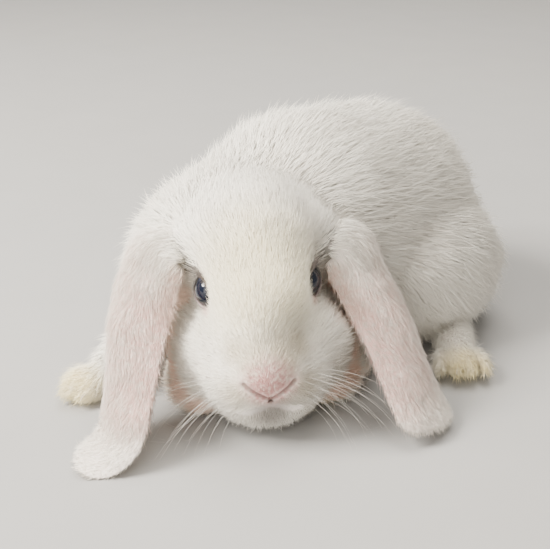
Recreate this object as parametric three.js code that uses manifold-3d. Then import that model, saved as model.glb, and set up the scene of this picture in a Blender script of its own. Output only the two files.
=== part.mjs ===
// A young lop-eared rabbit, crouching low with its head turned to its left and its ears hanging
// to the floor. The outline is that of the coat. Millimetres, +Z up; the trunk lies along Y with
// the rabbit's front towards -Y and its left towards +X, and the origin is on the floor under
// the middle of the belly.
//
// The body is one field of rounded masses that melt into each other. Each part is the surface of
// that whole field within the part's own reach, and thin cuts part it from its neighbours. The
// ears are cupped leaves swept along a hanging line, and the eyes are balls in sockets.

import * as THREE from "three";
import { mergeVertices } from "three/addons/utils/BufferGeometryUtils.js";
import Module from "manifold-3d";

const wasm = await Module();
wasm.setup();

// ---- Driving sizes -------------------------------------------------------------------------

const HEAD_SIZE = 67; // nose tip to the back of the skull is 1.05 of it, over the coat
const BODY_SIZE = 90; // the arched back stands 0.95 of it off the floor
const BROW = [14.6, -74.6, 47.7]; // the middle of the head, level with the brow
const HEAD_TURN = 41; // degrees the face is turned to the rabbit's left
const HEAD_NOD = 8; // degrees the tooth row slopes down to the nose
const HEAD_TILT = 3.5; // degrees the left eye is held above the right one
const EYE_RADIUS = 6.1;
const EYE_PLACE = [14.3, -0.5, -2.6]; // the left eyeball's middle, in head coordinates
const EAR_WIDTH = 27;
const EAR_THICKNESS = 5.5; // the flap with the hair of both its sides
const EAR_CUP = 6; // how far the edges curl in from the middle of the flap
const GAP = 0.4; // between neighbouring parts
const FINEST = 0.02; // the least step between two vertices

const HEAD_GRID = 4.3;
const LIMB_GRID = 4;
const BODY_GRID = 9.5;

// ---- Frames --------------------------------------------------------------------------------

const radians = THREE.MathUtils.degToRad;
const point = (x, y, z) => new THREE.Vector3(x, y, z);
const world = new THREE.Matrix4();

// Head coordinates: x to the rabbit's left, y towards the back of the skull, z up off the brow.
const headFrame = new THREE.Matrix4()
  .makeTranslation(...BROW)
  .multiply(new THREE.Matrix4().makeRotationZ(radians(HEAD_TURN)))
  .multiply(new THREE.Matrix4().makeRotationX(radians(HEAD_NOD)))
  .multiply(new THREE.Matrix4().makeRotationY(-radians(HEAD_TILT)));

// ---- The field -----------------------------------------------------------------------------

// A rounded mass: an ellipsoid with its middle and three radii in units of `scale`, turned by
// `turn` degrees about X, Y and Z.
function mass(frame, scale, middle, radii, turn = [0, 0, 0]) {
  const place = new THREE.Matrix4().makeRotationFromEuler(new THREE.Euler(...turn.map(radians)));
  place.setPosition(point(...middle).multiplyScalar(scale));
  const inverse = new THREE.Matrix4().multiplyMatrices(frame, place).invert();
  return { inverse: inverse.elements, radii: radii.map((r) => r * scale) };
}

// About the distance from a place to a mass's surface, negative inside.
function distanceTo({ inverse: m, radii: [a, b, c] }, x, y, z) {
  const u = m[0] * x + m[4] * y + m[8] * z + m[12];
  const v = m[1] * x + m[5] * y + m[9] * z + m[13];
  const w = m[2] * x + m[6] * y + m[10] * z + m[14];
  const near = Math.hypot(u / a, v / b, w / c);
  const steep = Math.hypot(u / (a * a), v / (b * b), w / (c * c));
  return steep > 1e-9 ? (near * (near - 1)) / steep : -Math.min(a, b, c);
}

// The lesser of two distances, with a fillet where they are within `melt` of each other.
function melted(d, e, melt) {
  const h = Math.max(melt - Math.abs(d - e), 0) / melt;
  return Math.min(d, e) - (h * h * melt) / 4;
}

// The first distance with the second one scooped out of it.
function scooped(d, e, melt) {
  return -melted(-d, e, melt);
}

// The field of several masses melted together.
function joined(masses, melt) {
  return (x, y, z) => masses.reduce((d, m) => melted(d, distanceTo(m, x, y, z), melt), 1e3);
}

// ---- Masses --------------------------------------------------------------------------------

const SIDES = { left: 1, right: -1 };
const bothSides = Object.values(SIDES);

const headMass = (middle, radii, turn) => mass(headFrame, HEAD_SIZE, middle, radii, turn);
const bodyMass = (middle, radii, turn) => mass(world, BODY_SIZE, middle, radii, turn);

const headMasses = joined(
  [
    headMass([0, 0.2, 0.08], [0.33, 0.36, 0.34]), // cranium
    headMass([0, 0.32, 0.05], [0.3, 0.22, 0.28]), // crown
    headMass([0, -0.08, -0.01], [0.25, 0.3, 0.23]), // forehead
    headMass([0, -0.24, -0.14], [0.2, 0.25, 0.15], [35, 0, 0]), // bridge of the nose
    headMass([0, -0.26, -0.33], [0.27, 0.2, 0.19]), // muzzle
    headMass([0, -0.43, -0.28], [0.095, 0.065, 0.085]), // nose
    headMass([0, -0.27, -0.51], [0.27, 0.19, 0.13]), // chin
    headMass([0, 0, -0.46], [0.34, 0.3, 0.2]), // jaw and throat
    ...bothSides.flatMap((s) => [
      headMass([0.24 * s, -0.06, -0.35], [0.22, 0.27, 0.25]), // cheek
      headMass([0.14 * s, 0.1, -0.14], [0.16, 0.24, 0.2]), // temple
      headMass([0.12 * s, -0.33, -0.36], [0.15, 0.135, 0.13]), // whisker pad
      headMass([0.28 * s, 0.22, 0.11], [0.12, 0.13, 0.11]), // root of the ear
      headMass([0.34 * s, 0.2, 0], [0.08, 0.12, 0.12]), // fold before the ear
      headMass([0.3 * s, -0.02, -0.55], [0.2, 0.24, 0.15]), // jowl
    ]),
  ],
  7.5,
);
const orbits = joined(
  bothSides.map((s) => headMass([0.4 * s, -0.13, -0.03], [0.115, 0.15, 0.12])),
  1,
);
const head = (x, y, z) => scooped(headMasses(x, y, z), orbits(x, y, z), 5);

const neck = joined([bodyMass([-0.04, -0.61, 0.44], [0.3, 0.24, 0.35], [0, 0, 20])], 8);

const trunk = joined(
  [
    bodyMass([-0.16, -0.55, 0.39], [0.44, 0.34, 0.39]), // chest and shoulders
    bodyMass([-0.06, -0.2, 0.47], [0.47, 0.44, 0.48]), // back
    bodyMass([0.02, 0.16, 0.46], [0.48, 0.46, 0.46]), // loin and rump
    bodyMass([0.05, 0.38, 0.3], [0.42, 0.3, 0.3]), // seat
    bodyMass([-0.02, -0.08, 0.17], [0.42, 0.52, 0.19]), // belly
  ],
  16,
);

const tail = joined([bodyMass([0.07, 0.69, 0.22], [0.1, 0.09, 0.15], [25, 0, 0])], 4);

const limbs = {
  thigh_left: joined([bodyMass([0.44, 0.1, 0.28], [0.2, 0.34, 0.29], [0, 0, -12])], 8),
  thigh_right: joined([bodyMass([-0.38, 0.14, 0.27], [0.2, 0.34, 0.28], [0, 0, 8])], 8),
  foreleg_left: joined([bodyMass([0.32, -0.46, 0.2], [0.14, 0.2, 0.2])], 6),
  foreleg_right: joined(
    [
      bodyMass([-0.4, -0.66, 0.28], [0.18, 0.22, 0.28]), // upper arm and elbow
      bodyMass([-0.38, -0.92, 0.11], [0.1, 0.26, 0.11], [8, 0, 6]), // forearm
    ],
    8,
  ),
};

// A foot: a sole and four toes fanned from its front end. It runs from `heel`, points `aim`
// degrees to the rabbit's left of straight ahead, and its toes spread `splay` wider than the sole.
function foot({ heel, aim, length, width, height, toe, splay }) {
  const frame = new THREE.Matrix4()
    .makeTranslation(...heel)
    .multiply(new THREE.Matrix4().makeRotationZ(radians(aim)));
  const toes = [-1.5, -0.5, 0.5, 1.5].map((k) => {
    const across = (k * (width + splay)) / 4.4;
    const ahead = length - 2 * toe - 1.6 * Math.abs(k);
    const middle = [across, -ahead, height * 0.42];
    return mass(frame, 1, middle, [toe * 0.78, toe * 1.9, toe], [0, 0, k * 9]);
  });
  const soleRadii = [width / 2, length * 0.46, height * 0.55];
  const sole = mass(frame, 1, [0, -length * 0.46, height * 0.45], soleRadii);
  return joined([sole, ...toes], 2.2);
}

const PAW = { length: 24, width: 14, height: 12, toe: 3.7 };
const HIND = { length: 50, width: 15, height: 13, toe: 4.2 };
const feet = {
  forepaw_left: foot({ ...PAW, heel: [30, -38, 0], aim: 8, splay: 0 }),
  forepaw_right: foot({ ...PAW, heel: [-33, -91, 0], aim: -14, splay: 1 }),
  hindfoot_left: foot({ ...HIND, heel: [40, 15, 0], aim: 36, splay: 6 }),
  hindfoot_right: foot({ ...HIND, heel: [-38, 22, 0], aim: -14, splay: 3 }),
};

function whole(x, y, z) {
  let d = melted(trunk(x, y, z), neck(x, y, z), 12);
  d = melted(d, head(x, y, z), 6);
  d = melted(d, tail(x, y, z), 5);
  for (const limb of Object.values(limbs)) d = melted(d, limb(x, y, z), 8);
  for (const oneFoot of Object.values(feet)) d = melted(d, oneFoot(x, y, z), 3);
  return d;
}

// ---- From field to solid -------------------------------------------------------------------

// The closed surface where `distance` is zero, as a net with one vertex in each crossed cell of
// a grid and a quad about each crossed edge. What lies on the edge of the box counts as outside.
function netGeometry(distance, low, high, cell) {
  const counts = low.map((l, i) => Math.ceil((high[i] - l) / cell) + 1);
  const [nx, ny, nz] = counts;
  const index = (i, j, k) => i + nx * (j + ny * k);
  const values = new Float64Array(nx * ny * nz);
  for (let k = 0; k < nz; k++) {
    for (let j = 0; j < ny; j++) {
      for (let i = 0; i < nx; i++) {
        const edge = i * j * k === 0 || i === nx - 1 || j === ny - 1 || k === nz - 1;
        const d = distance(low[0] + i * cell, low[1] + j * cell, low[2] + k * cell);
        values[index(i, j, k)] = edge ? Math.max(d, cell * 0.5) : d;
      }
    }
  }

  const corners = [0, 1, 2, 3, 4, 5, 6, 7].map((c) => [c & 1, (c >> 1) & 1, (c >> 2) & 1]);
  const edges = [];
  for (let a = 0; a < 8; a++) {
    for (const bit of [1, 2, 4]) if (!(a & bit)) edges.push([a, a | bit]);
  }

  const positions = [];
  const vertexOf = new Int32Array(values.length).fill(-1);
  for (let k = 0; k < nz - 1; k++) {
    for (let j = 0; j < ny - 1; j++) {
      for (let i = 0; i < nx - 1; i++) {
        const sum = [0, 0, 0];
        let crossings = 0;
        for (const [a, b] of edges) {
          const p = corners[a];
          const q = corners[b];
          const da = values[index(i + p[0], j + p[1], k + p[2])];
          const db = values[index(i + q[0], j + q[1], k + q[2])];
          if (da < 0 === db < 0) continue;
          const t = da / (da - db);
          for (let n = 0; n < 3; n++) sum[n] += p[n] + t * (q[n] - p[n]);
          crossings++;
        }
        if (crossings === 0) continue;
        vertexOf[index(i, j, k)] = positions.length / 3;
        const at = [i, j, k].map((c, n) => low[n] + (c + sum[n] / crossings) * cell);
        positions.push(...settled(distance, at, cell));
      }
    }
  }

  const triangles = [];
  const steps = [1, nx, nx * ny];
  for (let k = 0; k < nz - 1; k++) {
    for (let j = 0; j < ny - 1; j++) {
      for (let i = 0; i < nx - 1; i++) {
        const here = index(i, j, k);
        const inside = values[here] < 0;
        for (let axis = 0; axis < 3; axis++) {
          if (inside === values[here + steps[axis]] < 0) continue;
          const u = steps[(axis + 1) % 3];
          const v = steps[(axis + 2) % 3];
          const quad = [here, here - u, here - u - v, here - v].map((c) => vertexOf[c]);
          if (!inside) quad.reverse();
          triangles.push(quad[0], quad[1], quad[2], quad[0], quad[2], quad[3]);
        }
      }
    }
  }

  const geometry = new THREE.BufferGeometry();
  geometry.setAttribute("position", new THREE.Float32BufferAttribute(positions, 3));
  geometry.setIndex(triangles);
  return geometry;
}

// Moves a place near the surface onto it, along the slope of the field.
function settled(distance, at, cell) {
  const h = 0.05;
  let [x, y, z] = at;
  for (let round = 0; round < 3; round++) {
    const d = distance(x, y, z);
    if (Math.abs(d) > cell * 0.6) return at;
    const gx = (distance(x + h, y, z) - distance(x - h, y, z)) / (2 * h);
    const gy = (distance(x, y + h, z) - distance(x, y - h, z)) / (2 * h);
    const gz = (distance(x, y, z + h) - distance(x, y, z - h)) / (2 * h);
    const steep = Math.max(gx * gx + gy * gy + gz * gz, 0.25);
    x -= (d * gx) / steep;
    y -= (d * gy) / steep;
    z -= (d * gz) / steep;
  }
  return [x, y, z];
}

function toSolid(geometry) {
  const bare = geometry.clone();
  bare.deleteAttribute("normal");
  bare.deleteAttribute("uv");
  const merged = mergeVertices(bare, 1e-4);
  return new wasm.Manifold(
    new wasm.Mesh({
      numProp: 3,
      vertProperties: new Float32Array(merged.attributes.position.array),
      triVerts: new Uint32Array(merged.index.array),
    }),
  );
}

// A cut leaves some vertices almost in one place. They are set on a fine grid and merged, and
// the triangles that fold flat are dropped, alone or as two that lie back to back.
function toGeometry(solid) {
  const { vertProperties, triVerts } = solid.getMesh();
  const geometry = new THREE.BufferGeometry();
  const settledAt = vertProperties.map((c) => Math.round(c / FINEST) * FINEST);
  geometry.setAttribute("position", new THREE.BufferAttribute(settledAt, 3));
  geometry.setIndex(new THREE.BufferAttribute(triVerts, 1));
  const merged = mergeVertices(geometry, FINEST / 4);

  const kept = new Map();
  for (let i = 0; i < merged.index.count; i += 3) {
    const triangle = [0, 1, 2].map((n) => merged.index.getX(i + n));
    if (new Set(triangle).size < 3) continue;
    const key = [...triangle].sort((a, b) => a - b).join();
    if (kept.has(key)) kept.delete(key);
    else kept.set(key, triangle);
  }
  merged.setIndex([...kept.values()].flat());
  return merged;
}

// The largest of the separate bodies that a cut leaves.
function largest(solid) {
  const bodies = solid.decompose();
  return bodies.reduce((a, b) => (b.volume() > a.volume() ? b : a));
}

// The same net with every vertex moved outwards by `distance`.
function pushed(geometry, distance) {
  const moved = geometry.clone();
  moved.computeVertexNormals();
  const { position, normal } = moved.attributes;
  const at = new THREE.Vector3();
  const out = new THREE.Vector3();
  for (let i = 0; i < position.count; i++) {
    at.fromBufferAttribute(position, i);
    at.addScaledVector(out.fromBufferAttribute(normal, i), distance);
    position.setXYZ(i, ...at);
  }
  return moved;
}

// ---- Parting the body ----------------------------------------------------------------------

const BOX_LOW = [-80, -140, -12];
const BOX_HIGH = [110, 90, 110];
const REACH_DETAIL = 1;

const underFloor = toSolid(new THREE.BoxGeometry(400, 400, 100).translate(0, 0, -50));

// How far a part reaches: a ball stretched to three radii, turned and set in a frame. An earlier
// part is parted from all the later ones.
const parts = [
  ["forepaw_left", LIMB_GRID, world, [32.4, -52, 5], [10, 16, 9], [0, 0, 8]],
  ["forepaw_right", LIMB_GRID, world, [-37, -105, 6], [10, 15, 9], [0, 0, -14]],
  ["head", HEAD_GRID, headFrame, [0, 0, -11], [40, 41, 44], [0, 0, 0]],
  ["hindfoot_left", LIMB_GRID, world, [60, -8, 6], [15, 28, 12], [0, 0, 36]],
  ["hindfoot_right", LIMB_GRID, world, [-46, -4, 6], [13, 28, 12], [0, 0, -14]],
  ["tail", LIMB_GRID, world, [6.5, 66, 20], [11, 11, 16], [25, 0, 0]],
  ["thigh_left", BODY_GRID, world, [43, 9, 25], [20, 33, 28], [0, 0, -12]],
  ["thigh_right", BODY_GRID, world, [-38, 13, 25], [19, 33, 27], [0, 0, 8]],
  ["foreleg_left", BODY_GRID, world, [31, -42, 18], [15, 21, 21], [0, 0, 0]],
  ["foreleg_right", BODY_GRID, world, [-36, -72, 20], [18, 34, 26], [20, 0, 0]],
  ["neck", BODY_GRID, world, [-3, -55, 46], [37, 19, 42], [0, 0, 40]],
];

function reachGeometry(frame, middle, radii, turn, grow) {
  const place = new THREE.Matrix4().makeRotationFromEuler(new THREE.Euler(...turn.map(radians)));
  place.setPosition(...middle);
  return new THREE.IcosahedronGeometry(1, REACH_DETAIL)
    .scale(...radii.map((r) => r + grow))
    .applyMatrix4(place)
    .applyMatrix4(frame);
}

const solids = {};
let taken = underFloor; // the floor and every reach so far, grown by the gap
let outline = underFloor; // the floor and the body as each part draws it, grown by the gap
for (const [name, cell, frame, ...reach] of parts) {
  const own = reachGeometry(frame, ...reach, 0);
  own.computeBoundingBox();
  const low = own.boundingBox.min.subScalar(cell * 2).toArray();
  const high = own.boundingBox.max.addScalar(cell * 2).toArray();
  const net = netGeometry(whole, low, high, cell);
  solids[name] = largest(toSolid(net).intersect(toSolid(own)).subtract(taken));
  taken = taken.add(toSolid(reachGeometry(frame, ...reach, GAP)));
  outline = outline.add(toSolid(pushed(net, GAP)));
}
const wholeNet = netGeometry(whole, BOX_LOW, BOX_HIGH, BODY_GRID);
solids.trunk = largest(toSolid(wholeNet).subtract(taken));
outline = outline.add(toSolid(pushed(wholeNet, GAP)));

// ---- Eyes ----------------------------------------------------------------------------------

// Where an eye looks, in head coordinates: sideways, a little ahead and a little up.
const EYE_AIM = point(0.87, -0.44, 0.2).normalize();
const LID_LENGTH = 11; // corner to corner of the opening in the coat
const LID_HEIGHT = 8;

const eyePlace = (side) => point(side * EYE_PLACE[0], EYE_PLACE[1], EYE_PLACE[2]);

function eyeball(side, radius) {
  const middle = eyePlace(side).applyMatrix4(headFrame);
  return toSolid(new THREE.IcosahedronGeometry(radius, 2).translate(...middle));
}

// The almond-shaped opening in the coat before an eye; its long axis slopes down to the nose.
function eyeOpening(side) {
  const aim = point(side * EYE_AIM.x, EYE_AIM.y, EYE_AIM.z);
  const along = point(0, -0.78, -0.62).projectOnPlane(aim).normalize();
  const across = new THREE.Vector3().crossVectors(aim, along);
  const place = new THREE.Matrix4().makeBasis(aim, along, across);
  place.setPosition(aim.multiplyScalar(EYE_RADIUS + 2).add(eyePlace(side)));
  return toSolid(
    new THREE.IcosahedronGeometry(1, 2)
      .scale(5.5, LID_LENGTH / 2, LID_HEIGHT / 2)
      .applyMatrix4(place)
      .applyMatrix4(headFrame),
  );
}

for (const [name, side] of Object.entries(SIDES)) {
  solids[`eye_${name}`] = eyeball(side, EYE_RADIUS);
  solids.head = solids.head.subtract(eyeball(side, EYE_RADIUS + GAP)).subtract(eyeOpening(side));
}
solids.head = largest(solids.head);

// ---- Ears ----------------------------------------------------------------------------------

// The line down the middle of each ear, from its root in the head to its tip on the floor, and
// the way across the flap from its front edge to its back edge, at the root and at the tip.
const earLines = {
  left: {
    line: [[20, -52, 55], [30, -46.3, 55], [40.5, -47, 43], [50, -49.5, 32], [58.8, -53.4, 21],
      [67, -56.7, 10.5], [76, -60.4, 2.8]],
    across: [[0.1, 1, 0.1], [0.07, 1, 0]],
  },
  right: {
    line: [[-6, -76, 55], [-16.2, -85, 55], [-17.2, -93.4, 47.7], [-14.4, -102.8, 37],
      [-9.8, -111, 27], [-5.4, -119.5, 16], [-3.2, -126, 7.5], [-7.5, -130.5, 3.4],
      [-13.5, -134, 3.2]],
    across: [[-1, 0, 0.1], [-0.85, 0.4, 0]],
  },
};

const EAR_STATIONS = 15;
const EAR_SIDES = 12;

// The half width of the flap along the ear, in half ear widths: narrow at the root, widest a
// quarter of the way down, blunt at the tip.
function earBreadth(t) {
  const { smoothstep } = THREE.MathUtils;
  const swell = (0.6 + 0.4 * smoothstep(t, 0, 0.22)) * (1 - 0.06 * smoothstep(t, 0.35, 0.7));
  const end = Math.max((t - 0.88) / 0.12, 0);
  return swell * (1 - end ** 6) ** (1 / 2);
}

function earGeometry(side, { line, across }) {
  const curve = new THREE.CatmullRomCurve3(line.map((p) => point(...p)), false, "centripetal");
  const [acrossRoot, acrossTip] = across.map((a) => point(...a));
  const positions = [];
  for (let i = 0; i < EAR_STATIONS; i++) {
    const t = (0.995 * i) / (EAR_STATIONS - 1);
    const middle = curve.getPointAt(t);
    const along = curve.getTangentAt(t);
    const wide = acrossRoot.clone().lerp(acrossTip, t).projectOnPlane(along).normalize();
    const out = new THREE.Vector3().crossVectors(along, wide).multiplyScalar(side);
    const breadth = (EAR_WIDTH / 2) * earBreadth(t);
    const thick = (EAR_THICKNESS / 2) * (1 + 0.8 * (1 - THREE.MathUtils.smoothstep(t, 0, 0.35)));
    const cup = EAR_CUP * Math.min(1, 1.6 * (1 - t) + 0.15) * (breadth / (EAR_WIDTH / 2));
    for (let j = 0; j < EAR_SIDES; j++) {
      const turn = (2 * Math.PI * j) / EAR_SIDES;
      const s = Math.cos(turn);
      const rise = thick * Math.sin(turn) * earBreadth(t) ** 0.3 + cup * (0.5 - s * s);
      const at = middle.clone().addScaledVector(wide, breadth * s).addScaledVector(out, rise);
      positions.push(...at);
    }
  }
  positions.push(...curve.getPointAt(0), ...curve.getPointAt(1));

  const triangles = [];
  const ring = (i, j) => i * EAR_SIDES + (j % EAR_SIDES);
  const root = EAR_STATIONS * EAR_SIDES;
  for (let j = 0; j < EAR_SIDES; j++) {
    for (let i = 0; i < EAR_STATIONS - 1; i++) {
      const [a, b, c, d] = [ring(i, j), ring(i, j + 1), ring(i + 1, j + 1), ring(i + 1, j)];
      triangles.push(a, b, c, a, c, d);
    }
    triangles.push(root, ring(0, j + 1), ring(0, j));
    triangles.push(root + 1, ring(EAR_STATIONS - 1, j), ring(EAR_STATIONS - 1, j + 1));
  }
  if (side < 0) triangles.reverse();

  const geometry = new THREE.BufferGeometry();
  geometry.setAttribute("position", new THREE.Float32BufferAttribute(positions, 3));
  geometry.setIndex(triangles);
  return geometry;
}

for (const [name, side] of Object.entries(SIDES)) {
  const ear = toSolid(earGeometry(side, earLines[name]));
  solids[`ear_${name}`] = largest(ear.subtract(outline));
}

// ---- The rabbit ----------------------------------------------------------------------------

const materials = {
  coat: { color: 0xf3efe8, roughness: 0.9, metalness: 0 },
  ear: { color: 0xf1ddd6, roughness: 0.85, metalness: 0 },
  eye: { color: 0x3c4763, roughness: 0.08, metalness: 0 },
};

const group = new THREE.Group();
for (const [name, solid] of Object.entries(solids)) {
  const kind = name.split("_")[0];
  const material = new THREE.MeshStandardMaterial(materials[kind] ?? materials.coat);
  const mesh = new THREE.Mesh(toGeometry(solid), material);
  mesh.name = name;
  group.add(mesh);
}

export default group;
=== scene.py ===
from functools import partial
import math

import bpy
import numpy as np
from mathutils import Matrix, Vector, kdtree


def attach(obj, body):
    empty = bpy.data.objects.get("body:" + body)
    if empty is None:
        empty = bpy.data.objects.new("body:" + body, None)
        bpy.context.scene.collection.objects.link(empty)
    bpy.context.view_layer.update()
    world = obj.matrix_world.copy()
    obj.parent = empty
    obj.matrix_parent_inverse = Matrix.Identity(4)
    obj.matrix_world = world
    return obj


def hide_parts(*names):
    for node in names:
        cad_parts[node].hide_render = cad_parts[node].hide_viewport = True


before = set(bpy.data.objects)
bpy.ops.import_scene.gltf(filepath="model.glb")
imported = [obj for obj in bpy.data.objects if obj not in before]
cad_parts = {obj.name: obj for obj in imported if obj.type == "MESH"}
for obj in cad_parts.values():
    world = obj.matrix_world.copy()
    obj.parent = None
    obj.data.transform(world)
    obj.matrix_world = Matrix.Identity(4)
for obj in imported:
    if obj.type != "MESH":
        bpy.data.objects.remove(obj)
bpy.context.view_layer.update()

# ---- Camera --------------------------------------------------------
# It stands low, ahead of the rabbit and to its left, and looks a little down on the brow.


def placed(name, data):
    """A new object of some data, in the scene."""
    made = bpy.data.objects.new(name, data)
    bpy.context.scene.collection.objects.link(made)
    return made


camera = placed("camera", bpy.data.cameras.new("camera"))
camera.location = (0.1885, -0.3128, 0.1863)
camera.rotation_euler = (math.radians(65), 0, math.radians(35))
camera.data.lens = 65.45
camera.data.sensor_width = 36
bpy.context.scene.camera = camera

# ---- Skin ----------------------------------------------------------
# One thin pink hide over the whole rabbit, ears too, with lids about the eyes, a split upper lip
# and slit nostrils. It is a field of rounded masses melted together and lies under the outline of
# the coat by the coat's depth. All sizes here are millimetres until a mesh is made.

MM = 0.001
chance = np.random.default_rng(7)


def unit(v):
    return v / np.maximum(np.linalg.norm(v, axis=-1, keepdims=True), 1e-9)


def turning(turn):
    """The matrix that turns by degrees about Z, then Y, then X."""
    (cx, cy, cz), (sx, sy, sz) = np.cos(np.radians(turn)), np.sin(np.radians(turn))
    about_x = np.array([[1, 0, 0], [0, cx, -sx], [0, sx, cx]])
    about_y = np.array([[cy, 0, sy], [0, 1, 0], [-sy, 0, cy]])
    about_z = np.array([[cz, -sz, 0], [sz, cz, 0], [0, 0, 1]])
    return about_x @ about_y @ about_z


HEAD_SIZE, BODY_SIZE = 67, 90
BROW = np.array([14.6, -74.6, 47.7])
# Head coordinates: x to its left, y to its crown's back, z up.
HEAD_AXES = turning((0, 0, 41)) @ turning((8, 0, 0)) @ turning((0, -3.5, 0))


def from_head(places):
    return np.asarray(places, float) @ HEAD_AXES.T + BROW


class Coat:
    """How the coat grows on a mass: its depth over the skin, the length and width of a tuft, the
    tufts to the square millimetre, and the way it lies in the rabbit's own directions."""

    def __init__(self, depth, length, width, dense, lie=(0, 1, -0.3)):
        self.row = np.array([depth, length, width, dense, *lie])


NOSE_COAT = Coat(0.4, 1.2, 0.2, 7.0)
FACE_COAT = Coat(1.2, 3.6, 0.27, 5.2)
CHEEK_COAT = Coat(1.9, 7.4, 0.3, 4.0)
JOWL_COAT = Coat(2.4, 9.6, 0.3, 3.2)
CROWN_COAT = Coat(2.0, 5.6, 0.34, 3.8)
CHIN_COAT = Coat(1.8, 4.6, 0.26, 5.6)
NAPE_COAT = Coat(3.6, 11.0, 0.42, 2.1, (-0.1, 1, -0.2))
CHEST_COAT = Coat(4.0, 12.0, 0.42, 1.85, (-0.5, 0.75, -0.45))
BACK_COAT = Coat(3.8, 12.5, 0.42, 1.9, (0.05, 1, -0.28))
SEAT_COAT = Coat(4.0, 11.5, 0.42, 1.8, (0.05, 1, -0.75))
BELLY_COAT = Coat(3.2, 9.0, 0.48, 0.9, (0, 1, -0.15))
THIGH_COAT = Coat(3.6, 11.0, 0.42, 1.9, (0.1, 0.8, -0.75))
LEG_COAT = Coat(2.6, 7.0, 0.4, 2.2, (0, -0.35, -1))
PAW_COAT = Coat(2.0, 5.4, 0.28, 4.6, (0, -1, -0.05))
TAIL_COAT = Coat(3.4, 8.0, 0.4, 2.8, (0, 1, 0.5))


def mass(axes, origin, size, middle, radii, coat, turn=(0, 0, 0)):
    """A rounded mass: the way it is turned, its middle, its three radii and its coat."""
    place = axes @ (size * np.array(middle)) + origin
    return axes @ turning(turn), place, size * np.array(radii), coat


def head_mass(*about):
    return mass(HEAD_AXES, BROW, HEAD_SIZE, *about)


def body_mass(*about):
    return mass(np.eye(3), np.zeros(3), BODY_SIZE, *about)


def distance(one, p):
    """About the distance from places to a mass's surface, negative inside."""
    axes, middle, radii, _ = one
    local = (p - middle) @ axes / radii
    near = np.sqrt((local * local).sum(-1))
    steep = np.sqrt(((local / radii) ** 2).sum(-1))
    return near * (near - 1) / np.maximum(steep, 1e-9)


def melted(d, e, melt):
    h = np.maximum(melt - np.abs(d - e), 0) / melt
    return np.minimum(d, e) - h * h * melt / 4


def scooped(d, e, melt):
    return -melted(-d, e, melt)


SIDES = {"left": 1, "right": -1}

head_masses = [
    head_mass([0, 0.2, 0.08], [0.33, 0.36, 0.34], CROWN_COAT),  # cranium
    head_mass([0, 0.32, 0.05], [0.3, 0.22, 0.28], CROWN_COAT),  # crown
    head_mass([0, -0.08, -0.01], [0.25, 0.3, 0.23], FACE_COAT),  # forehead
    head_mass([0, -0.24, -0.14], [0.2, 0.25, 0.15], FACE_COAT, (35, 0, 0)),  # bridge
    head_mass([0, -0.26, -0.33], [0.27, 0.2, 0.19], FACE_COAT),  # muzzle
    head_mass([0, -0.43, -0.28], [0.095, 0.065, 0.085], NOSE_COAT),  # nose
    head_mass([0, -0.27, -0.51], [0.27, 0.19, 0.13], CHIN_COAT),  # chin
    head_mass([0, 0, -0.46], [0.34, 0.3, 0.2], CHEEK_COAT),  # jaw and throat
]
for s in SIDES.values():
    head_masses += [
        head_mass([0.24 * s, -0.06, -0.35], [0.22, 0.27, 0.25], CHEEK_COAT),  # cheek
        head_mass([0.14 * s, 0.1, -0.14], [0.16, 0.24, 0.2], FACE_COAT),  # temple
        head_mass([0.12 * s, -0.33, -0.36], [0.15, 0.135, 0.13], FACE_COAT),  # whisker pad
        head_mass([0.28 * s, 0.22, 0.11], [0.12, 0.13, 0.11], CROWN_COAT),  # root of the ear
        head_mass([0.34 * s, 0.2, 0], [0.08, 0.12, 0.12], CROWN_COAT),  # fold before the ear
        head_mass([0.3 * s, -0.02, -0.55], [0.2, 0.24, 0.15], JOWL_COAT),  # jowl
    ]
orbits = [head_mass([0.4 * s, -0.13, -0.03], [0.115, 0.15, 0.12], None) for s in (1, -1)]


def foot(heel, aim, length, width, height, toe, splay):
    """A sole and four toes fanned from its front end, turned `aim` degrees to the left."""
    axes = turning((0, 0, aim))
    coat = Coat(*PAW_COAT.row[:4], axes @ PAW_COAT.row[4:])
    sole = [width / 2, length * 0.46, height * 0.55]
    made = [mass(axes, np.array(heel), 1, [0, -length * 0.46, height * 0.45], sole, coat)]
    for k in (-1.5, -0.5, 0.5, 1.5):
        middle = [k * (width + splay) / 4.4, 2 * toe + 1.6 * abs(k) - length, height * 0.42]
        toe_radii = [toe * 0.78, toe * 1.9, toe]
        made.append(mass(axes, np.array(heel), 1, middle, toe_radii, coat, (0, 0, 9 * k)))
    return made


PAW = dict(length=24, width=14, height=12, toe=3.7)
HIND = dict(length=50, width=15, height=13, toe=4.2)
feet = {
    "forepaw_left": foot([30, -38, 0], 8, splay=0, **PAW),
    "forepaw_right": foot([-33, -91, 0], -14, splay=1, **PAW),
    "hindfoot_left": foot([40, 15, 0], 36, splay=6, **HIND),
    "hindfoot_right": foot([-38, 22, 0], -14, splay=3, **HIND),
}

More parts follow.
